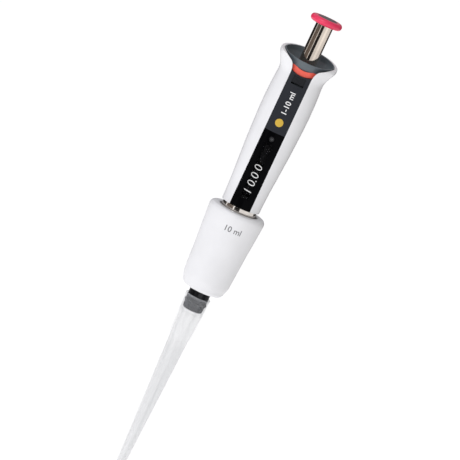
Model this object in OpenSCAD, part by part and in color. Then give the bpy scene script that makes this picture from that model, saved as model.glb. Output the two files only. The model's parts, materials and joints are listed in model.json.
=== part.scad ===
// Single-channel 10 ml air-displacement pipette with its tip.
// The origin is the tip's outlet on the main axis and +Z runs up to the thumb button.
// Heights named *_h are measured up from the rim of the tip. The display faces -Y, the hook +Y.

/* [Tip] */
// Length of the disposable tip, from its outlet to its rim
tip_length = 157; // [150:1:165]
// Radius of the outlet at the tip's lower end
outlet_r = 1.5; // [1.2:0.1:1.6]
// Wall thickness of the tip's tapered lower part
tip_wall = 0.6; // [0.5:0.05:0.8]

/* [Button] */
// Radius of the coloured thumb button
button_r = 10.8; // [9.5:0.1:11]
// Outside radius of the chromed plunger tube
tube_r = 5.85; // [5.8:0.05:6]

/* [Hook] */
// Reach of the finger hook behind the main axis
hook_reach = 38; // [35:1:44]
// Width of the finger hook
hook_width = 13; // [10:0.5:16]

/* [Counter] */
// Radius of the counter drums
drum_r = 9.4; // [9:0.1:9.4]
// Height of one counter drum
drum_height = 5.3; // [5:0.1:5.4]

/* [Piston] */
// Radius of the piston over its seal
piston_r = 11.25; // [11.2:0.01:11.27]

/* [Hidden] */

$fn = 96;
eps = 0.01;
running_gap = 0.05;
slot_gap = 0.3;

// handle
handle_bottom_h = 66;
handle_top_h = 180;
shell_wall = 1.1;
panel_width = 14.4;
window_top_h = 120.8;
label_top_h = 162.7;
rim_tilt = 9.5;
rim_h = 172.6;
smile_h = 179.2;
smile_r = 18.3;
bowl_clear_r = 17.5;
hook_screw_h = [148, 156];
handle_knots = [[handle_bottom_h, 13.2], [79, 13.6], [93, 14.5], [107, 15.4], [121, 16], [132, 16.4],
    [145, 16.3], [152, 15.95], [158, 15.6], [161, 15.95], [163.4, 16.75], [165.9, 17.9], [168, 19],
    [170.2, 19.75], [172.5, 19.6], [175, 18.9], [handle_top_h, 18.2]];
notch_knots = [[0, 157], [5, 157.8], [6.9, 160.2], [7.7, 164.2], [9.3, 167.4], [13, 169.6], [17, 171.8],
    [24, 175.2]];
bowl_outside = [[12.3, 164.2], [13.4, 164.5], [14.2, 165.6], [14.5, 166.6], [15.2, 168.1], [16.1, 169.6],
    [16.9, 171.1], [17.2, 172.2], [17.2, 178.2]];
bowl_inside = [[16.5, 178.2], [16.5, 172.2], [16.1, 170.8], [15.2, 169.2], [14.2, 167.8], [13.2, 166.6],
    [11.6, 165.7]];

// mechanism
chassis_r = 12;
chassis_bore_r = 9.7;
chassis_top_h = 147;
strip_x = 10.5;
strip_thick = 1.2;
strip_width = 5;
sleeve_r = 5;
sleeve_bottom_h = 75;
spring_seat_h = 113;
thread_r = 8;
hex_r = 3.4;
rod_r = 1.8;
tube_bottom_h = 139;
cap_r = 6.7;
button_bottom_h = 195.6;
button_top_h = 200.3;
drum_pitch = 5.6;
first_drum_h = 78.1;
pinion_r = 1.45;
pinion_y = drum_r + 0.1 + pinion_r;

// liquid end
cylinder_r = 12.6;
cylinder_bore_r = 11.3;
cylinder_bottom_h = 6.6;
cylinder_top_h = 46;
neck_r = 9.6;
neck_bore_r = 8.2;
cone_r = 7.15;
cone_end_h = -10;
cone_bore_r = 2.5;
seal_h = -4.5;
collar_bottom_h = 4.7;
collar_top_h = 62.8;
collar_knots = [[10, 15.4], [12.8, 16.15], [23.6, 16.8], [35.4, 17.5], [47.3, 18.5], [57, 19.2]];
ring_r = 12.05;

// Catmull-Rom curve through the knots, with n points to a span
function knot(k, i) = k[max(0, min(len(k) - 1, i))];
function blend_at(a, b, c, d, t) =
    0.5 * (2 * b + (c - a) * t + (2 * a - 5 * b + 4 * c - d) * t * t + (3 * b - a - 3 * c + d) * t * t * t);
function curve(k, n = 4) = concat(
    [for (i = [0:len(k) - 2], j = [0:n - 1]) blend_at(knot(k, i - 1), k[i], k[i + 1], knot(k, i + 2), j / n)],
    [k[len(k) - 1]]);
function reversed(v) = [for (i = [len(v) - 1:-1:0]) v[i]];

handle_curve = curve(handle_knots);
function handle_r(h) = lookup(h, handle_curve);
function collar_r(h) = lookup(h, collar_knots);
function handle_stretch(h0, h1, off) = concat([[handle_r(h0) + off, h0]],
    [for (p = handle_curve) if (p[0] > h0 + eps && p[0] < h1 - eps) [p[1] + off, p[0]]],
    [[handle_r(h1) + off, h1]]);

// Places children at a height above the tip's rim
module at(h) {
    translate([0, 0, tip_length + h]) children();
}

// Upright tube between two heights
module tube(h0, h1, outer, inner) {
    at(h0) difference() {
        cylinder(h = h1 - h0, r = outer);
        translate([0, 0, -eps]) cylinder(h = h1 - h0 + 2 * eps, r = inner);
    }
}

// Upright bar with its lower corner at [x, y] and its faces square to the axes
module bar(x0, x1, y0, y1, h0, h1) {
    at(h0) translate([x0, y0, 0]) cube([x1 - x0, y1 - y0, h1 - h0]);
}

// Solid turned about the main axis from [radius, height] points
module turned(points) {
    at(0) rotate_extrude() polygon(points);
}

// Everything above the tilted plane of the bowl's rim
module above_rim(lift = 0) {
    at(rim_h + lift) rotate([rim_tilt, 0, 0]) translate([-40, -40, 0]) cube([80, 80, 40]);
}

// Prism along Y over an outline in X and height, from y0 to y1
module front_prism(points, y0, y1) {
    at(0) translate([0, y1, 0]) rotate([90, 0, 0]) linear_extrude(height = y1 - y0) polygon(points);
}

// Skin of the handle between two heights, as wide as the front panel less a side gap
module panel_piece(h0, h1, sink, inner, gap) {
    half = panel_width / 2 - gap;
    intersection() {
        turned(concat(handle_stretch(h0, h1, -sink), [[inner, h1], [inner, h0]]));
        bar(-half, half, -30, -5, h0 - 1, h1 + 1);
    }
}

// Round wire wound about the main axis
module coil(h0, h1, mean_r, wire_r, turns, steps, sides = 6) {
    rings = turns * steps;
    rise = h1 - h0 - 2 * wire_r;
    spots = [for (i = [0:rings], j = [0:sides - 1])
        let (a = 360 * i / steps, b = 360 * j / sides, r = mean_r + wire_r * cos(b))
        [r * cos(a), r * sin(a), wire_r + rise * i / rings + wire_r * sin(b)]];
    quads = [for (i = [0:rings - 1], j = [0:sides - 1])
        let (k = (j + 1) % sides)
        [i * sides + j, i * sides + k, (i + 1) * sides + k, (i + 1) * sides + j]];
    ends = [[for (j = [sides - 1:-1:0]) j], [for (j = [0:sides - 1]) rings * sides + j]];
    at(h0) polyhedron(spots, concat(quads, ends));
}

// Outline of the front notch: everything above it is open
function notch_outline() = let (edge = curve(notch_knots, 5)) concat(
    [for (p = reversed(edge)) [-p[0], p[1]]], edge, [[24, 188], [-24, 188]]);

module handle_shell() {
    cavity = concat([[handle_r(handle_bottom_h) - shell_wall, handle_bottom_h - 1]],
        handle_stretch(handle_bottom_h, 157, -shell_wall),
        [[14.6, 157.5], [14.7, 159.7], [15.5, 162.7], [16.6, 164.8], [bowl_clear_r, 166.6],
            [bowl_clear_r, handle_top_h + 1], [0, handle_top_h + 1], [0, handle_bottom_h - 1]]);
    color("white") difference() {
        turned(concat(handle_stretch(handle_bottom_h, handle_top_h, 0),
            [[0, handle_top_h], [0, handle_bottom_h]]));
        turned(cavity);
        above_rim();
        front_prism(notch_outline(), -30, 0);
        bar(-panel_width / 2, panel_width / 2, -30, -5, handle_bottom_h - 1, 161.6);
        for (h = hook_screw_h) at(h) rotate([-90, 0, 0]) translate([0, 0, 10]) cylinder(h = 10, r = 1.3);
    }
}

// Finger hook: an arm that runs back from the shell and turns down at its end
module finger_hook() {
    under = 155.5;
    thick = 4.5;
    drop = 12;
    bend = 7;
    arm_end = hook_reach - bend;
    color("white") intersection() {
        difference() {
            union() {
                bar(-hook_width / 2, hook_width / 2, 12, arm_end, under, under + thick);
                bar(-hook_width / 2, hook_width / 2, 12, 19, under - 14, under + 8);
                bar(-hook_width / 2, hook_width / 2, hook_reach - thick, hook_reach,
                    under - drop + 2, under + thick - bend);
                at(under + thick - bend) translate([-hook_width / 2, arm_end, 0]) rotate([0, 90, 0])
                    cylinder(h = hook_width, r = bend);
                at(under - drop + 2) translate([-hook_width / 2, hook_reach - thick / 2, 0]) rotate([0, 90, 0])
                    cylinder(h = hook_width, r = thick / 2);
            }
            bar(-20, 20, 19, hook_reach - thick, under - drop - 5, under);
            turned(concat(handle_stretch(handle_bottom_h, 174, 0.02), [[0, 174], [0, handle_bottom_h]]));
            for (h = hook_screw_h) at(h) rotate([-90, 0, 0]) translate([0, 0, 10]) cylinder(h = 8, r = 1);
        }
        at(under - 20) translate([0, 25, 0]) cylinder(h = 60, r = 22);
    }
}

// Two screws that hold the hook from inside the shell
module hook_screws() {
    head_r = 1.9;
    for (h = hook_screw_h) {
        wall_y = sqrt(pow(handle_r(h + head_r) - shell_wall, 2) - head_r * head_r) - 0.08;
        color("silver") at(h) rotate([-90, 0, 0]) {
            translate([0, 0, wall_y - 1]) cylinder(h = 1, r = head_r);
            translate([0, 0, wall_y - 0.05]) cylinder(h = 17.6 - wall_y, r = 1);
        }
    }
}

module label_plate() {
    color([0.2, 0.21, 0.24]) difference() {
        intersection() {
            panel_piece(window_top_h, label_top_h, 0.1, 14.6, 0.1);
            at(0) translate([0, -5, 0]) rotate([90, 0, 0]) linear_extrude(height = 20) difference() {
                translate([-10, window_top_h]) square([20, label_top_h - window_top_h + 1]);
                translate([0, smile_h]) circle(r = smile_r + 0.2);
            }
        }
        at(160.4) cylinder(h = 4, r1 = 14.6, r2 = 16);
        bar(-4.2, 4.2, -20, -5, 154.2, 160);
    }
}

// Small catch that frees the label plate when it is slid down
module label_latch() {
    color([0.14, 0.15, 0.17]) intersection() {
        turned(concat(handle_stretch(155.4, 159.8, -0.05), [[14.65, 159.8], [14.65, 155.4]]));
        bar(-4, 4, -20, -5, 155, 160);
    }
}

module window_frame() {
    color([0.03, 0.03, 0.035]) difference() {
        panel_piece(handle_bottom_h, window_top_h - 0.1, 0.1, chassis_r + 0.1, 0.1);
        bar(-3.9, 3.9, -20, -5, 73, 112.5);
        at(115.6) rotate([90, 0, 0]) cylinder(h = 20, r = 2);
    }
}

module window_lens() {
    color([0.5, 0.55, 0.6, 0.35]) intersection() {
        turned(concat(handle_stretch(73.1, 112.4, -0.3), [[chassis_r + 0.4, 112.4], [chassis_r + 0.4, 73.1]]));
        bar(-3.8, 3.8, -20, -5, 73, 113);
    }
}

// Small wheel behind the round window that shows the calibration setting
module calibration_wheel() {
    color("dimgray") at(115.6) rotate([90, 0, 0]) translate([0, 0, chassis_r + 0.2]) {
        cylinder(h = 1.3, r = 1.8);
        translate([0, 0, -0.9]) cylinder(h = 0.9, r = 1);
    }
}

// Inner frame that guides the drive and carries the counter
module chassis() {
    color("lightgray") difference() {
        tube(66.5, chassis_top_h, chassis_r, chassis_bore_r);
        bar(-7.6, 7.6, -20, -2, 74.5, 98.6);
        for (side = [-1, 1])
            bar(side * 14 - 4, side * 14 + 4, -strip_width / 2 - slot_gap, strip_width / 2 + slot_gap, 60, 150);
        bar(-2.2, 2.2, 5, 14, 74.5, 98.6);
        bar(-1.7, 1.7, 5, 14, 104, 136);
        at(70) translate([0, pinion_y, 0]) cylinder(h = 33, r = 0.55);
        at(115.6) rotate([90, 0, 0]) cylinder(h = 20, r = 1.1);
    }
}

module tube_bushing() {
    color("ivory") tube(141, chassis_top_h, chassis_bore_r - 0.02, tube_r + running_gap);
}

// Leaf ring whose lugs click in the notches on the drive sleeve's top
module detent_spring() {
    color("silver") difference() {
        union() {
            tube(139.8, 140.4, chassis_bore_r - 0.05, 7);
            for (turn = [0:120:240]) rotate([0, 0, turn]) bar(7, 8.6, -0.7, 0.7, 138.4, 140);
        }
        for (side = [-1, 1]) bar(side * 14 - 4.6, side * 14 + 4.6, -3, 3, 130, 150);
    }
}

// Rotating sleeve with a hexagonal bore below and a threaded cup above
module drive_sleeve() {
    color("gold") difference() {
        union() {
            tube(sleeve_bottom_h, spring_seat_h, sleeve_r, 1);
            tube(100, 102, thread_r, 1);
            tube(102, 137, thread_r, 6.5);
            for (i = [0:11]) tube(104 + i * 2.7, 104.7 + i * 2.7, thread_r + 0.1, 6.6);
        }
        at(sleeve_bottom_h - 1) cylinder(h = 60, r = hex_r + 0.2, $fn = 6);
        for (turn = [0:36:324]) rotate([0, 0, turn]) bar(6, 9, -0.3, 0.3, 136.3, 138);
    }
}

// One number drum, with its driving gear cut in the edge nearest the next drum
module drum(place) {
    middle = first_drum_h + place * drum_pitch;
    low = middle - drum_height / 2;
    color([0.08, 0.08, 0.09]) difference() {
        tube(low, low + drum_height, drum_r, sleeve_r + 0.08);
        for (i = [0:19]) rotate([0, 0, i * 18]) at(low - eps)
            translate([drum_r, 0, 0]) cylinder(h = 0.9, r = 0.6);
        tube(low + 1.6, low + drum_height + 1, 8.2, 6.6);
    }
}

// Eight-tooth transfer pinion between two drums
module pinion(place) {
    middle = first_drum_h + (place + 0.5) * drum_pitch;
    color("orange") at(middle - 1.5) translate([0, pinion_y, 0]) difference() {
        cylinder(h = 3, r = pinion_r);
        for (i = [0:7]) rotate([0, 0, i * 45 + 22.5])
            translate([pinion_r + 0.1, 0, -eps]) cylinder(h = 4, r = 0.36);
        translate([0, 0, -eps]) cylinder(h = 4, r = 0.55);
    }
}

module drum_tens() { drum(0); }
module drum_ones() { drum(1); }
module drum_tenths() { drum(2); }
module drum_hundredths() { drum(3); }
module pinion_tens() { pinion(0); }
module pinion_ones() { pinion(1); }
module pinion_tenths() { pinion(2); }

module pinion_shaft() {
    color("silver") at(70.2) translate([0, pinion_y, 0]) cylinder(h = 32.5, r = 0.5);
}

// Nut that climbs the drive thread and sets the stroke
module stop_nut() {
    color("goldenrod") {
        tube(106, 111, chassis_bore_r - 0.2, thread_r + 0.2);
        bar(-1.4, 1.4, 9.3, 11, 106, 111);
    }
}

module button_cap() {
    color("gray") difference() {
        turned([[0, button_bottom_h + 2.2], [cap_r, button_bottom_h + 2.2], [cap_r, button_top_h - 0.35],
            [cap_r - 0.4, button_top_h], [0, button_top_h + 0.1]]);
        at(button_bottom_h) cylinder(h = 3, r = hex_r + 0.02);
    }
}

// Coloured ring with a rounded edge around the cap
module button_ring() {
    edge = 2.1;
    mid = (button_bottom_h + button_top_h - 0.15) / 2;
    rise = (button_top_h - 0.15 - button_bottom_h) / 2;
    rim = [for (a = [-90:10:90]) [button_r - edge * (1 - cos(a)), mid + rise * sin(a)]];
    color([0.91, 0.24, 0.38]) turned(concat(rim, [[cap_r + 0.03, button_top_h - 0.3],
        [cap_r + 0.03, button_bottom_h + 2.15], [tube_r - 0.75, button_bottom_h + 2.15],
        [tube_r - 0.75, button_bottom_h]]));
}

module plunger_tube() {
    color("silver") tube(tube_bottom_h, button_bottom_h - 0.02, tube_r, tube_r - 0.8);
}

// Hexagonal tube that turns the drive sleeve and slides in it
module drive_shaft() {
    color("dimgray") difference() {
        at(101) cylinder(h = button_bottom_h + 2.98 - 101, r = hex_r, $fn = 6);
        at(100) cylinder(h = 100, r = rod_r + running_gap);
        at(button_bottom_h + 1.5) cylinder(h = 3, r = 2.7);
    }
}

module main_spring() {
    color("silver") coil(spring_seat_h + 0.05, button_bottom_h + 1.9, 4.35, 0.42, 14, 16);
}

module blowout_spring() {
    color("silver") coil(102.1, 112.3, 5.8, 0.38, 4, 20);
}

// Second-stop washer that the plunger tube meets at the end of the measuring stroke
module blowout_washer() {
    color("brown") tube(112.4, 113.9, 6.4, 5.15);
}

module piston_rod() {
    color("silver") {
        at(40) cylinder(h = button_bottom_h + 1.5 - 40, r = rod_r);
        tube(44.5, 46, 4, rod_r - eps);
    }
}

// Clip that keeps the button on the rod
module rod_clip() {
    color("dimgray") tube(button_bottom_h + 1.55, button_bottom_h + 2.1, 2.6, 0.6);
}

module piston() {
    color("ivory") difference() {
        union() {
            tube(37.4, 43.4, piston_r - 0.3, 0.001);
            tube(43.4, 44.45, 5, rod_r);
        }
        at(39.98) cylinder(h = 10, r = rod_r + 0.01);
        at(40.4) rotate_extrude() translate([piston_r - 0.75, 0]) circle(r = 0.8);
    }
}

module piston_seal() {
    color("black") at(40.4) rotate_extrude() translate([piston_r - 0.75, 0]) circle(r = 0.75);
}

// Bowl-shaped tip ejector around the plunger tube
module ejector_button() {
    hole_r = tube_r + 0.25;
    color([0.35, 0.38, 0.41]) difference() {
        union() {
            turned(concat([[hole_r, 164.2]], bowl_outside, bowl_inside, [[hole_r, 165.7]]));
            tube(153.5, 164.4, 10.3, 9);
            bar(-11.6, -9.5, -strip_width / 2, strip_width / 2, 155, 164.4);
            bar(9.5, 11.6, -strip_width / 2, strip_width / 2, 155, 164.4);
        }
        above_rim(0.2);
    }
}

// Coloured band under the bowl: a smile-shaped front on a ring that grips the skirt
module colour_band() {
    color([0.93, 0.41, 0.36]) difference() {
        union() {
            intersection() {
                tube(158, 168.5, 14.3, 12.4);
                at(0) rotate([90, 0, 0]) linear_extrude(height = 20) difference() {
                    translate([0, smile_h]) circle(r = smile_r);
                    translate([0, smile_h - 0.15]) circle(r = smile_r - 3.7);
                    translate([9.4, 150]) square(20);
                    translate([-29.4, 150]) square(20);
                }
            }
            tube(161.4, 163.4, 12.5, 10.35);
        }
        turned(concat([[0, 164.18]], [for (p = bowl_outside) [p[0] + 0.02, p[1] - 0.02]], [[0, 178.2]]));
        for (side = [-1, 1]) bar(side * 10.6 - 1.2, side * 10.6 + 1.2, -2.7, 2.7, 158, 170);
    }
}

module ejector_strips() {
    for (x = [strip_x, -strip_x - strip_thick])
        color("silver") bar(x, x + strip_thick, -strip_width / 2, strip_width / 2, 54.5, 154.98);
}

// Plate that carries the push of the strips into the sleeve
module ejector_yoke() {
    color("lightgray") tube(51.5, 54.48, 16.9, neck_r + 0.3);
}

module ejector_spring() {
    color("silver") coil(chassis_top_h + 0.05, 164.15, 7.7, 0.55, 5, 20);
}

// Tapered outer sleeve that pushes the tip off
module ejector_sleeve() {
    wall = 1.8;
    low = [for (a = [0:15:90]) [11.6 + 3.1 * sin(a), collar_bottom_h + 3.5 * (1 - cos(a))]];
    top = [for (a = [0:15:90]) [17.2 + 2.15 * cos(a), collar_top_h - 3.1 + 3 * sin(a)]];
    inside = [[13.1, collar_top_h - 0.4], [13.1, 60], [16.4, 59.6], [17.3, 57.5], [collar_r(47.3) - wall, 47.3],
        [collar_r(23.6) - wall, 23.6], [14.1, 12], [13.4, 6.2], [cone_r + 0.35, 6.2]];
    color("white") turned(concat([[cone_r + 0.35, collar_bottom_h]], low,
        [for (p = collar_knots) [p[1], p[0]]], top, [[13.6, collar_top_h]], inside));
}

module chrome_ring() {
    color("silver") difference() {
        tube(57, handle_bottom_h - 0.02, ring_r, neck_r + 0.02);
        for (x = [10.1, -12.1])
            bar(x, x + 2, -strip_width / 2 - slot_gap, strip_width / 2 + slot_gap, 50, 70);
    }
}

module cylinder_neck() {
    color("ivory") difference() {
        tube(cylinder_top_h, 72, neck_r, neck_bore_r);
        for (i = [0:4]) tube(67.5 + i, 67.9 + i, neck_r + 1, neck_r - 0.15);
    }
}

// Barrel in which the piston runs
module cylinder_barrel() {
    color("gainsboro") difference() {
        tube(cylinder_bottom_h, cylinder_top_h - 0.02, cylinder_r, cone_bore_r);
        at(8.6) cylinder(h = cylinder_top_h - 10.2, r = cylinder_bore_r);
        at(30) cylinder(h = 20, r = neck_bore_r);
    }
}

// Nose that the tip is pushed on, with moulded ribs round its end
module tip_cone() {
    color([0.06, 0.06, 0.065]) difference() {
        turned([[cone_bore_r, cone_end_h], [6.3, cone_end_h], [6.75, cone_end_h + 0.8], [cone_r, seal_h + 1.5],
            [cone_r, cylinder_bottom_h - 0.02], [cone_bore_r, cylinder_bottom_h - 0.02]]);
        for (i = [0:15]) rotate([0, 0, i * 22.5])
            at(cone_end_h - 1) translate([7, 0, 0]) cylinder(h = 4.6, r = 0.45);
        at(seal_h) rotate_extrude() translate([7, 0]) circle(r = 0.7);
        at(cone_end_h - 1) cylinder(h = 9, r = 4.5);
    }
}

module cone_seal() {
    color("dimgray") at(seal_h) rotate_extrude() translate([7, 0]) circle(r = 0.66);
}

module cone_filter() {
    color("whitesmoke") at(cone_end_h + 0.6) cylinder(h = 7.3, r = 4.48);
}

// Tapered tip: wide mouth, a step below it, then one long taper to the outlet
module tip() {
    mouth_r = 7.72;
    rim_thick = 1;
    step = tip_length - 31;
    step_r = 6.95;
    nose_r = 2.2;
    color([0.93, 0.94, 0.95, 0.5]) rotate_extrude() polygon([
        [outlet_r, 0], [nose_r, 0], [step_r, step], [step_r + 0.5, step + 1.5], [8.3, tip_length - 16],
        [mouth_r + 0.8, tip_length - 3], [mouth_r + rim_thick, tip_length - 2.6],
        [mouth_r + rim_thick, tip_length - 0.3], [mouth_r + rim_thick - 0.3, tip_length],
        [mouth_r + 0.3, tip_length], [mouth_r, tip_length - 0.4], [mouth_r - 0.02, tip_length - 10.5],
        [7.45, tip_length - 16], [step_r - tip_wall + 0.25, step + 1.8], [step_r - tip_wall, step],
        [outlet_r, 6]]);
}

handle_shell();
finger_hook();
hook_screws();
label_plate();
label_latch();
window_frame();
window_lens();
calibration_wheel();
chassis();
tube_bushing();
detent_spring();
drive_sleeve();
drum_tens();
drum_ones();
drum_tenths();
drum_hundredths();
pinion_tens();
pinion_ones();
pinion_tenths();
pinion_shaft();
stop_nut();
button_cap();
button_ring();
plunger_tube();
drive_shaft();
main_spring();
blowout_spring();
blowout_washer();
piston_rod();
rod_clip();
piston();
piston_seal();
ejector_button();
colour_band();
ejector_strips();
ejector_yoke();
ejector_spring();
ejector_sleeve();
chrome_ring();
cylinder_neck();
cylinder_barrel();  // cylinder
tip_cone();
cone_seal();
cone_filter();
tip();
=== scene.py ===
import json
import math

import bmesh
import bpy
from mathutils import Matrix, Vector
from mathutils.bvhtree import BVHTree


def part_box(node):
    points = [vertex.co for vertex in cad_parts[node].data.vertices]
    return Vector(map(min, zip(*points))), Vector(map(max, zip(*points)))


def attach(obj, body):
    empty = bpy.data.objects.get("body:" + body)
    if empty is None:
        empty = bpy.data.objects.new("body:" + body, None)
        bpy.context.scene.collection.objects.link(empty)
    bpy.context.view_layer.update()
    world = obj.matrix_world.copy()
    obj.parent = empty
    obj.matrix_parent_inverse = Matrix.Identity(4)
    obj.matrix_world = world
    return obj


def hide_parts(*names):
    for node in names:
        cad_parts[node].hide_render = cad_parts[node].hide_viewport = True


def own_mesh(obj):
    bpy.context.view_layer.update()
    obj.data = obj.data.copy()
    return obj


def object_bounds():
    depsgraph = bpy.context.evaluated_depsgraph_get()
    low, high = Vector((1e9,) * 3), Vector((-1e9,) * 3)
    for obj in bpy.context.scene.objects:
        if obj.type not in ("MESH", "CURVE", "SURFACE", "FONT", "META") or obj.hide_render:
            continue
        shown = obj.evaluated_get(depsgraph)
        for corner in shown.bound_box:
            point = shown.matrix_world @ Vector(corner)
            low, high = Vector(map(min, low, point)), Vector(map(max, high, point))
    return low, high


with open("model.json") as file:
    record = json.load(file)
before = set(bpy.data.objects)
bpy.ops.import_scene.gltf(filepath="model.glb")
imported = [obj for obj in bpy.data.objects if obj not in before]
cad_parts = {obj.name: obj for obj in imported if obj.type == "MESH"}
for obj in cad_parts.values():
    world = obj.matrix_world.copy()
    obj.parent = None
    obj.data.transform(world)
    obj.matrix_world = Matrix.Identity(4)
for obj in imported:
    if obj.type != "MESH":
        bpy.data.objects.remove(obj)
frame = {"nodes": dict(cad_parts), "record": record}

MM = 0.001
INK_LIFT = 0.03 * MM     # how far print stands off the surface under it
FLOOR_Z = -30 * MM       # low enough for the tip to drop when it is ejected
CAD_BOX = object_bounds()
NODES = frame["nodes"]
BODY_OF = {n: b for b, members in frame["record"]["behaviour"]["bodies"].items() for n in members}
SLOT_OF = {s["node"]: s["material_slot"] for s in frame["record"]["subparts"]}
RIM_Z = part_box("tip")[1].z


# ---------------------------------------------------------------- materials

class Material:
    """A node material on one Principled shader, with short calls for the detail on it."""

    def __init__(self, name, color, roughness=0.5, **sockets):
        self.mat = bpy.data.materials.new(name)
        self.mat.use_nodes = True
        self.tree = self.mat.node_tree
        self.shader = self.tree.nodes["Principled BSDF"]
        self.color = color
        self.set("Base Color", (*color, 1.0))
        self.set("Roughness", roughness)
        for socket, value in sockets.items():
            self.set(socket.replace("_", " "), value)
        self.coords = self.tree.nodes.new("ShaderNodeTexCoord").outputs["Object"]

    def set(self, socket, value):
        self.shader.inputs[socket].default_value = value

    def link(self, a, b):
        self.tree.links.new(a, b)

    def mapped(self, scale):
        node = self.tree.nodes.new("ShaderNodeMapping")
        node.inputs["Scale"].default_value = scale
        self.link(self.coords, node.inputs["Vector"])
        return node.outputs["Vector"]

    def noise(self, scale, detail=4.0, stretch=(1, 1, 1)):
        node = self.tree.nodes.new("ShaderNodeTexNoise")
        node.inputs["Scale"].default_value = scale
        node.inputs["Detail"].default_value = detail
        node.inputs["Roughness"].default_value = 0.55
        self.link(self.mapped(stretch), node.inputs["Vector"])
        return node.outputs["Fac"]

    def cells(self, scale):
        node = self.tree.nodes.new("ShaderNodeTexVoronoi")
        node.inputs["Scale"].default_value = scale
        self.link(self.coords, node.inputs["Vector"])
        return node.outputs["Distance"]

    def remap(self, value, low, high, start=0.3, end=0.7):
        node = self.tree.nodes.new("ShaderNodeMapRange")
        node.inputs["From Min"].default_value = start
        node.inputs["From Max"].default_value = end
        node.inputs["To Min"].default_value = low
        node.inputs["To Max"].default_value = high
        self.link(value, node.inputs["Value"])
        return node.outputs["Result"]

    def added(self, a, b):
        node = self.tree.nodes.new("ShaderNodeMath")
        node.operation = "ADD"
        self.link(a, node.inputs[0])
        self.link(b, node.inputs[1])
        return node.outputs[0]

    def height_step(self, start, end, low, high):
        """A value that goes from low to high between two heights of the object."""
        split = self.tree.nodes.new("ShaderNodeSeparateXYZ")
        self.link(self.coords, split.inputs[0])
        return self.remap(split.outputs["Z"], low, high, start, end)

    def vary_roughness(self, value, low, high):
        self.link(self.remap(value, low, high), self.shader.inputs["Roughness"])

    def vary_color(self, value, other, start=0.35, end=0.65):
        mix = self.tree.nodes.new("ShaderNodeMix")
        mix.data_type = "RGBA"
        mix.inputs[6].default_value = (*self.color, 1.0)
        mix.inputs[7].default_value = (*other, 1.0)
        self.link(self.remap(value, 0.0, 1.0, start, end), mix.inputs[0])
        self.link(mix.outputs[2], self.shader.inputs["Base Color"])

    def bump(self, value, distance):
        node = self.tree.nodes.new("ShaderNodeBump")
        node.inputs["Strength"].default_value = 1.0
        node.inputs["Distance"].default_value = distance
        self.link(value, node.inputs["Height"])
        self.link(node.outputs["Normal"], self.shader.inputs["Normal"])


def moulded(name, color, roughness, depth=0.00001, tint=0.93, **sockets):
    """Injection-moulded plastic: a fine eroded grain, slow colour drift and faint handling marks."""
    m = Material(name, color, roughness, **sockets)
    other = tuple(c * tint for c in color)
    m.vary_color(m.noise(70, 3.0), other)
    m.vary_roughness(m.noise(240, 5.0), roughness - 0.05, roughness + 0.07)
    m.bump(m.noise(2600, 2.0), depth)
    return m.mat


def metal(name, color, roughness, lines=(1, 1, 1)):
    """Metal with fine tool or polishing lines, which run along the axes where lines is small."""
    m = Material(name, color, roughness, Metallic=1.0)
    m.vary_color(m.noise(120, 4.0), tuple(c * 0.85 for c in color))
    m.vary_roughness(m.noise(1500, 3.0, stretch=lines), roughness * 0.7, roughness * 1.4)
    m.bump(m.noise(1500, 2.0, stretch=lines), 0.000004)
    return m.mat


def rubber(name, color):
    """Matt rubber with a dusty bloom."""
    m = Material(name, color, 0.62)
    m.vary_color(m.noise(400, 4.0), tuple(c * 1.5 for c in color))
    m.bump(m.noise(3000, 3.0), 0.00002)
    return m.mat


def clear_lens(name):
    """Clear acrylic, dark at its faces, with a faint waviness."""
    m = Material(name, (0.004, 0.004, 0.005), 0.06, Specular_IOR_Level=0.08, Alpha=0.1)
    m.vary_roughness(m.noise(300, 4.0), 0.04, 0.10)
    m.bump(m.noise(60, 2.0), 0.000004)
    m.mat.blend_method = "BLEND"
    return m.mat


# Depth under the tip's rim and length of a change in mm, and the milkiness added below and above it.
TIP_BANDS = [(1.6, 0.4, 0.0, 0.14), (13.5, 1.0, 0.0, 0.05), (37.0, 6.0, 0.03, 0.0)]


def frosted_tip(name):
    """Translucent polypropylene: a milky skin, faint flow lines down its length and a fine frost."""
    m = Material(name, (0.48, 0.49, 0.51), 0.5, Specular_IOR_Level=0.08)
    flow = m.noise(260, 2.0, stretch=(1, 1, 0.02))
    m.vary_color(flow, (0.36, 0.37, 0.39), 0.3, 0.8)
    alpha = m.remap(flow, 0.075, 0.145)
    for depth, blend, below, above in TIP_BANDS:
        start = RIM_Z - depth * MM
        alpha = m.added(alpha, m.height_step(start, start + blend * MM, below, above))
    m.link(alpha, m.shader.inputs["Alpha"])
    m.vary_roughness(m.noise(900, 3.0), 0.44, 0.58)
    m.bump(m.noise(1800, 2.0), 0.000006)
    m.mat.blend_method = "BLEND"
    return m.mat


def drawn_black(name):
    """Black plastic with faint lighter lines down its length."""
    m = Material(name, (0.002, 0.002, 0.003), 0.3, Specular_IOR_Level=0.06)
    lines = m.noise(420, 2.0, stretch=(1, 1, 0.01))
    m.vary_color(lines, (0.030, 0.030, 0.032), 0.45, 0.7)
    m.vary_roughness(m.noise(240, 5.0), 0.25, 0.37)
    m.bump(lines, 0.00002)
    return m.mat


def sintered(name):
    """Porous filter plastic, made of beads pressed together."""
    m = Material(name, (0.86, 0.86, 0.84), 0.9)
    m.vary_color(m.cells(2600), (0.66, 0.66, 0.64), 0.1, 0.6)
    m.bump(m.cells(2600), 0.0001)
    return m.mat


def printed(name, color, glow=0.0):
    """Pad-printed ink, slightly thin in places. A glow keeps it readable in a deep slot."""
    m = Material(name, color, 0.5)
    m.set("Emission Color", (*color, 1.0))
    m.set("Emission Strength", glow)
    m.vary_color(m.noise(2500, 3.0), tuple(c * 0.82 for c in color))
    m.bump(m.noise(4000, 2.0), 0.000003)
    return m.mat


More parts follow.
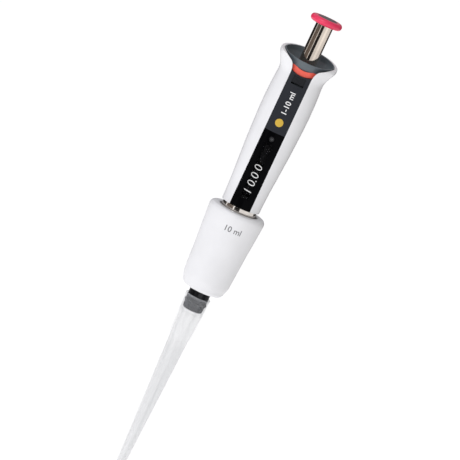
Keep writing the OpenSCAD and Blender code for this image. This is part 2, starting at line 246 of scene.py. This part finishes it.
def make_materials():
    """Every material, by the name of its slot or its ink."""
    white = (0.745, 0.745, 0.762)
    steel = (0.62, 0.62, 0.64)
    return {
        "shell_white": moulded("shell_white", white, 0.34, tint=0.97, Coat_Weight=0.15),
        "sleeve_white": moulded("sleeve_white", white, 0.40, tint=0.97),
        "label_charcoal": moulded("label_charcoal", (0.019, 0.021, 0.027), 0.5, depth=0.00003,
                                  Specular_IOR_Level=0.15),
        "latch_charcoal": moulded("latch_charcoal", (0.009, 0.010, 0.013), 0.5, depth=0.00003,
                                  Specular_IOR_Level=0.2),
        "window_black": moulded("window_black", (0.0015, 0.0015, 0.002), 0.2, depth=0.000001,
                                Specular_IOR_Level=0.025),
        "lens_clear": clear_lens("lens_clear"),
        "wheel_grey": moulded("wheel_grey", (0.05, 0.05, 0.055), 0.5),
        "frame_grey": moulded("frame_grey", (0.42, 0.43, 0.45), 0.5),
        "frame_black": moulded("frame_black", (0.006, 0.006, 0.007), 0.6, Specular_IOR_Level=0.1),
        "bearing_ivory": moulded("bearing_ivory", (0.74, 0.70, 0.60), 0.4),
        "barrel_grey": moulded("barrel_grey", (0.50, 0.50, 0.52), 0.35),
        "drum_black": moulded("drum_black", (0.004, 0.004, 0.005), 0.6, Specular_IOR_Level=0.15),
        "pinion_acetal": moulded("pinion_acetal", (0.70, 0.33, 0.08), 0.4),
        "cap_grey": moulded("cap_grey", (0.10, 0.10, 0.10), 0.55, depth=0.00004, Specular_IOR_Level=0.3),
        "button_raspberry": moulded("button_raspberry", (0.78, 0.026, 0.10), 0.38, tint=0.9,
                                    Coat_Weight=0.1),
        "shaft_grey": moulded("shaft_grey", (0.12, 0.12, 0.13), 0.45),
        "bowl_slate": moulded("bowl_slate", (0.105, 0.13, 0.146), 0.42, tint=0.86),
        "band_coral": moulded("band_coral", (0.86, 0.115, 0.075), 0.38, tint=0.9),
        "cone_black": drawn_black("cone_black"),
        "tube_chrome": metal("tube_chrome", (0.66, 0.585, 0.51), 0.09, lines=(1, 1, 0.01)),
        "ring_chrome": metal("ring_chrome", (0.66, 0.62, 0.58), 0.10, lines=(0.02, 0.02, 1)),
        "screw_steel": metal("screw_steel", steel, 0.25),
        "spring_steel": metal("spring_steel", (0.55, 0.55, 0.57), 0.22, lines=(1, 1, 0.2)),
        "rod_steel": metal("rod_steel", steel, 0.2, lines=(1, 1, 0.02)),
        "drive_brass": metal("drive_brass", (0.72, 0.52, 0.24), 0.25, lines=(0.03, 0.03, 1)),
        "seal_rubber": rubber("seal_rubber", (0.02, 0.02, 0.02)),
        "filter_white": sintered("filter_white"),
        "tip_clear": frosted_tip("tip_clear"),
        "ink_white": printed("ink_white", (0.85, 0.85, 0.85)),
        "ink_drum": printed("ink_drum", (0.92, 0.92, 0.92), glow=0.5),
        "ink_grey": printed("ink_grey", (0.16, 0.16, 0.17)),
        "ink_amber": printed("ink_amber", (0.62, 0.40, 0.035)),
    }


# ---------------------------------------------------------------- CAD nodes

# Width in mm of the rounding on the edges that can be seen.
BEVELS = {
    "handle_shell": 0.8, "finger_hook": 1.2, "button_ring": 0.2, "button_cap": 0.3, "ejector_button": 0.3,
    "colour_band": 0.3, "ejector_sleeve": 0.3, "chrome_ring": 0.2, "label_plate": 0.25, "label_latch": 0.2,
    "window_frame": 0.25, "window_lens": 0.1, "tip_cone": 0.12, "plunger_tube": 0.2, "tip": 0.08,
}


def dress_cad_nodes(materials):
    """Gives each CAD node its material, and rounds the edges that can be seen."""
    for name, node in NODES.items():
        node.data.materials.clear()
        node.data.materials.append(materials[SLOT_OF[name]])
        node.data.shade_smooth()
        weld = node.modifiers.new("weld", "WELD")
        weld.merge_threshold = 0.000002
        if name in BEVELS:
            bevel = node.modifiers.new("edges", "BEVEL")
            bevel.width = BEVELS[name] * MM
            bevel.segments = 3
            bevel.limit_method = "ANGLE"
            bevel.angle_limit = math.radians(35)
        normals = node.modifiers.new("normals", "WEIGHTED_NORMAL")
        normals.keep_sharp = True


# ---------------------------------------------------------------- pieces

def add_piece(name, mesh, material, node):
    """Adds a piece in the given material that rides with a CAD node."""
    obj = bpy.data.objects.new(name, mesh)
    bpy.context.scene.collection.objects.link(obj)
    mesh.materials.clear()
    mesh.materials.append(material)
    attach(obj, BODY_OF[node])
    return obj


def grid_faces(rows, columns, closed=False):
    """Quads between neighbouring points of a grid that is listed row by row."""
    faces = []
    for i in range(rows - 1):
        for j in range(columns if closed else columns - 1):
            here = i * columns + j
            beside = i * columns + (j + 1) % columns
            faces.append((here, beside, beside + columns, here + columns))
    return faces


# ---------------------------------------------------------------- springs

# The joint that presses each spring, its wire's radius in mm and its number of turns.
SPRINGS = {
    "main_spring": ("plunger_press", 0.42, 14),
    "blowout_spring": ("second_stop_drop", 0.38, 4),
    "ejector_spring": ("ejector_press", 0.55, 5),
}


def coil_mesh(name, low, high, wire, turns, steps=28, sides=10):
    """Round wire wound about the main axis inside a box, with its last half turns laid flat."""
    mean = high.x - wire
    length = high.z - low.z - 2 * wire
    count = turns * steps
    flat = steps // 2
    points = []
    for i in range(count + 1):
        share = min(max((i - flat) / (count - 2 * flat), 0.0), 1.0)
        centre = low.z + wire + length * share
        a = 2 * math.pi * i / steps
        for j in range(sides):
            b = 2 * math.pi * j / sides
            r = mean + wire * math.cos(b)
            points.append((r * math.cos(a), r * math.sin(a), centre + wire * math.sin(b)))
    faces = grid_faces(count + 1, sides, closed=True)
    faces.append(tuple(reversed(range(sides))))
    faces.append(tuple(count * sides + j for j in range(sides)))
    mesh = bpy.data.meshes.new(name)
    mesh.from_pydata(points, [], faces)
    mesh.shade_smooth()
    return mesh


def wind_springs(materials):
    """Springs of round wire in place of the spring nodes, each riding with its node's body."""
    for node, (joint, wire, turns) in SPRINGS.items():
        low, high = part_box(node)
        mesh = coil_mesh(f"{node}_wire", low, high, wire * MM, turns)
        spring = add_piece(f"{node}_wire", mesh, materials[SLOT_OF[node]], node)
        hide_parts(node)
        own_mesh(spring)


# ---------------------------------------------------------------- markings

def cut_fine(mesh, step=0.35 * MM):
    """Cuts a flat mesh into narrow strips both ways, so that it can bend round a small radius."""
    work = bmesh.new()
    work.from_mesh(mesh)
    for axis in (0, 1):
        values = [v.co[axis] for v in work.verts]
        normal = Vector((1, 0, 0)) if axis == 0 else Vector((0, 1, 0))
        for k in range(math.ceil(min(values) / step), math.floor(max(values) / step) + 1):
            parts = work.verts[:] + work.edges[:] + work.faces[:]
            bmesh.ops.bisect_plane(work, geom=parts, plane_co=normal * (k * step), plane_no=normal)
    work.to_mesh(mesh)
    work.free()


def text_mesh(name, text, size, shear=0.0, weight=0.0):
    """Flat outline text as a mesh, centred on the origin in its own XY plane."""
    curve = bpy.data.curves.new(name, "FONT")
    curve.body = text
    curve.size = size
    curve.shear = shear
    curve.offset = weight
    curve.resolution_u = 4
    curve.align_x = "CENTER"
    curve.align_y = "CENTER"
    obj = bpy.data.objects.new(name, curve)
    bpy.context.scene.collection.objects.link(obj)
    bpy.context.view_layer.update()
    mesh = bpy.data.meshes.new_from_object(obj)
    bpy.data.objects.remove(obj)
    xs = [v.co.x for v in mesh.vertices]
    ys = [v.co.y for v in mesh.vertices]
    centre = Vector(((min(xs) + max(xs)) / 2, (min(ys) + max(ys)) / 2, 0))
    for v in mesh.vertices:
        v.co -= centre
    cut_fine(mesh)
    return mesh


def wrap(mesh, radius_at, z, angle, sideways):
    """Bends flat text round the main axis. sideways text reads up the axis, other text reads round it."""
    for v in mesh.vertices:
        along, across = v.co.x, v.co.y
        if sideways:
            rise, turn = along, -across
        else:
            rise, turn = across, along
        a = angle + turn / radius_at(angle, z + rise)
        r = radius_at(a, z + rise)
        v.co = Vector((r * math.sin(a), -r * math.cos(a), z + rise))


NUMERAL_SIZE = 7.8 * MM
CLEAR_HALF = 2.78 * MM   # half the clear width of the lens, between its black borders


def drum_numerals(materials):
    """Numerals round the four drums. The next lower value stands one tenth of a turn to the right."""
    coarse = [str((10 - k) % 10) for k in range(10)]
    fine = [str((10 - 2 * k) % 10) for k in range(10)]
    from_one = coarse[-1:] + coarse[:-1]
    rows = {"drum_tens": from_one, "drum_ones": coarse, "drum_tenths": coarse, "drum_hundredths": fine}
    for drum, values in rows.items():
        low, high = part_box(drum)
        radius = high.x + INK_LIFT
        middle = (low.z + high.z) / 2
        for k, value in enumerate(values):
            mesh = text_mesh(f"{drum}_numeral_{k}", value, NUMERAL_SIZE, shear=0.12, weight=-0.05 * MM)
            wrap(mesh, lambda a, z: radius, middle, math.radians(36 * k), sideways=True)
            add_piece(f"{drum}_numeral_{k}", mesh, materials["ink_drum"], drum)


def outside_of(node):
    """Radius of print on a node by bearing and height, found with rays sent in towards the main axis."""
    matrix = NODES[node].matrix_world
    mesh = NODES[node].data
    points = [matrix @ v.co for v in mesh.vertices]
    tree = BVHTree.FromPolygons(points, [tuple(f.vertices) for f in mesh.polygons])
    start = 60 * MM

    def radius_at(a, z):
        outward = Vector((math.sin(a), -math.cos(a), 0))
        spot = tree.ray_cast(outward * start + Vector((0, 0, z)), -outward)[0]
        return math.hypot(spot.x, spot.y) + INK_LIFT if spot else CAD_BOX[1][0]

    return radius_at


def strip_mesh(name, length, low, high):
    """Flat strip, as long as length along X, between two offsets in Y."""
    half = length / 2
    corners = [(-half, low, 0), (half, low, 0), (half, high, 0), (-half, high, 0)]
    mesh = bpy.data.meshes.new(name)
    mesh.from_pydata(corners, [], [(0, 1, 2, 3)])
    cut_fine(mesh)
    return mesh


def disc_mesh(name, radius, rings=4, sides=36):
    """Flat disc of rings round a small centre, so that it can bend."""
    points = []
    for k in range(rings, 0, -1):
        for j in range(sides):
            a = math.radians(j * 360 / sides)
            points.append((radius * math.cos(a) * k / rings, radius * math.sin(a) * k / rings, 0.0))
    faces = grid_faces(rings, sides, closed=True)
    faces.append(tuple((rings - 1) * sides + j for j in range(sides)))
    mesh = bpy.data.meshes.new(name)
    mesh.from_pydata(points, [], faces)
    cut_fine(mesh)
    return mesh


def mark(name, mesh, node, material, z, angle, sideways):
    """Prints a flat mesh on the outside of a node."""
    wrap(mesh, outside_of(node), z, math.radians(angle), sideways)
    add_piece(name, mesh, material, node)


def lens_border(materials):
    """Black printed border down both long sides of the counter's lens, which covers the seam beside it."""
    low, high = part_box("window_lens")
    surface = outside_of("window_lens")
    edge = math.asin((high.x - 0.05 * MM) / -low.y)
    for side in (-1, 1):
        name = f"lens_border_{side + 1}"
        span = sorted((side * CLEAR_HALF, side * (high.x + 0.2 * MM)))
        mesh = strip_mesh(name, high.z - low.z - 0.1 * MM, *span)
        wrap(mesh, lambda a, z: surface(min(max(a, -edge), edge), z), (low.z + high.z) / 2, 0, True)
        add_piece(name, mesh, materials["window_black"], "window_lens")


def printed_marks(materials):
    """The volume on the sleeve, and the range and a disc on the label plate."""
    label_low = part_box("label_plate")[0].z
    sleeve_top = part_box("ejector_sleeve")[1].z
    volume = text_mesh("volume_mark", "10 ml", 5.5 * MM, weight=0.04 * MM)
    mark("volume_mark", volume, "ejector_sleeve", materials["ink_grey"], sleeve_top - 10.8 * MM, 8, False)
    span = text_mesh("range_mark", "1-10 ml", 5.2 * MM, weight=0.06 * MM)
    mark("range_mark", span, "label_plate", materials["ink_white"], label_low + 21 * MM, 0, True)
    disc = disc_mesh("range_disc", 2.7 * MM)
    mark("range_disc", disc, "label_plate", materials["ink_amber"], label_low + 7.0 * MM, 0, True)


def decimal_point(materials):
    """The point between the ones and the tenths, printed at the foot of each numeral on the ones drum."""
    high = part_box("drum_ones")[1]
    radius = high.x + INK_LIFT
    for k in range(10):
        mesh = disc_mesh(f"point_{k}", 0.45 * MM)
        wrap(mesh, lambda a, z: radius, high.z - 0.5 * MM, math.radians(36 * k + 15), sideways=True)
        add_piece(f"point_{k}", mesh, materials["ink_drum"], "drum_ones")


def calibration_mark(materials):
    """The figure on the wheel behind the small round window."""
    low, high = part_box("calibration_wheel")
    mesh = text_mesh("calibration_zero", "0", 2.4 * MM)
    middle = (low.z + high.z) / 2
    for v in mesh.vertices:
        v.co = Vector((-v.co.y, low.y - 0.02 * MM, middle + v.co.x))
    add_piece("calibration_zero", mesh, materials["ink_grey"], "calibration_wheel")


# ---------------------------------------------------------------- stage

def area_light(name, place, target, size, watts, color):
    """Rectangular soft light, turned to face its target."""
    data = bpy.data.lights.new(name, "AREA")
    data.energy = watts
    data.size = size[0]
    data.shape = "RECTANGLE"
    data.size_y = size[1]
    data.color = color
    obj = bpy.data.objects.new(name, data)
    bpy.context.scene.collection.objects.link(obj)
    obj.location = place
    obj.rotation_euler = (Vector(target) - Vector(place)).to_track_quat("-Z", "Y").to_euler()


def make_world():
    """Studio surroundings: white on the left, falling to a warm grey on the right."""
    world = bpy.data.worlds.new("studio")
    bpy.context.scene.world = world
    world.use_nodes = True
    tree = world.node_tree
    back = tree.nodes["Background"]
    direction = tree.nodes.new("ShaderNodeTexCoord")
    split = tree.nodes.new("ShaderNodeSeparateXYZ")
    ramp = tree.nodes.new("ShaderNodeValToRGB")
    ramp.color_ramp.elements[0].color = (1.0, 1.0, 1.03, 1.0)
    ramp.color_ramp.elements[1].color = (0.52, 0.50, 0.46, 1.0)
    tree.links.new(direction.outputs["Generated"], split.inputs[0])
    tree.links.new(split.outputs["X"], ramp.inputs["Fac"])
    tree.links.new(ramp.outputs["Color"], back.inputs["Color"])
    back.inputs["Strength"].default_value = 0.62


def make_floor():
    """Plain pale floor."""
    bpy.ops.mesh.primitive_plane_add(size=60, location=(0, 0, FLOOR_Z))
    floor = bpy.context.object
    floor.name = "floor"
    m = Material("floor", (0.95, 0.95, 0.95), 0.9)
    m.vary_color(m.noise(3.0), (0.94, 0.94, 0.94))
    m.set("Emission Color", (1.0, 1.0, 1.0, 1.0))
    m.set("Emission Strength", 0.5)
    floor.data.materials.append(m.mat)


AIM = Vector((0.0005, 0.0, 0.2053))
DISTANCE = 2.16
VIEW_WIDTH = 0.299       # width of the picture at the object
ELEVATION = math.radians(9.9)
LEAN = math.radians(25.06)


def make_camera():
    """Long lens from the front, rolled so that the upright object leans as in the photo."""
    data = bpy.data.cameras.new("camera")
    data.sensor_width = 36
    data.lens = DISTANCE / VIEW_WIDTH * data.sensor_width
    data.clip_start = 0.05
    data.clip_end = 100
    camera = bpy.data.objects.new("camera", data)
    bpy.context.scene.collection.objects.link(camera)
    back = Vector((0, -math.cos(ELEVATION), math.sin(ELEVATION)))
    camera.location = AIM + back * DISTANCE
    level = (-back).to_track_quat("-Z", "Y").to_matrix()
    roll = Matrix.Rotation(LEAN, 3, "Z")
    camera.rotation_euler = (level @ roll).to_euler()
    bpy.context.scene.camera = camera


def flag(name, start, end, color, distance=1.0, height=0.75, steps=6):
    """A studio card that only polished surfaces see, from one bearing to another round the part."""
    bearings = [math.radians(start + (end - start) * k / steps) for k in range(steps + 1)]
    feet = [(distance * math.sin(a), -distance * math.cos(a), FLOOR_Z + 1 * MM) for a in bearings]
    tops = [(x, y, height) for x, y, _ in feet]
    mesh = bpy.data.meshes.new(name)
    mesh.from_pydata(feet + tops, [], grid_faces(2, steps + 1))
    card = bpy.data.objects.new(name, mesh)
    bpy.context.scene.collection.objects.link(card)
    m = Material(name, color, 0.9)
    m.vary_color(m.noise(4.0), tuple(c * 0.8 for c in color))
    mesh.materials.append(m.mat)
    card.visible_camera = False
    card.visible_diffuse = False
    card.visible_shadow = False
    card.visible_transmission = False


def make_stage():
    """Surroundings, floor, two lights, and the cards that give the chrome its dark bands."""
    make_world()
    make_floor()
    area_light("key", (-0.9, -1.5, 1.2), (0, 0, 0.2), (1.0, 1.0), 14, (0.99, 0.99, 1.0))
    area_light("fill", (1.3, -1.0, 0.5), (0, 0, 0.2), (0.8, 1.2), 1.0, (1.0, 0.97, 0.93))
    flag("flag_front", -29, 7, (0.015, 0.013, 0.012))
    flag("flag_left", -88, -36, (0.22, 0.18, 0.155), 1.1)
    flag("flag_back_left", -178, -96, (0.02, 0.018, 0.016), 1.2)
    flag("flag_back_right", 112, 178, (0.06, 0.055, 0.05), 1.2)
    bpy.context.scene.view_settings.view_transform = "Standard"


MATERIALS = make_materials()
dress_cad_nodes(MATERIALS)
wind_springs(MATERIALS)
drum_numerals(MATERIALS)
decimal_point(MATERIALS)
calibration_mark(MATERIALS)
lens_border(MATERIALS)
printed_marks(MATERIALS)
make_camera()
make_stage()
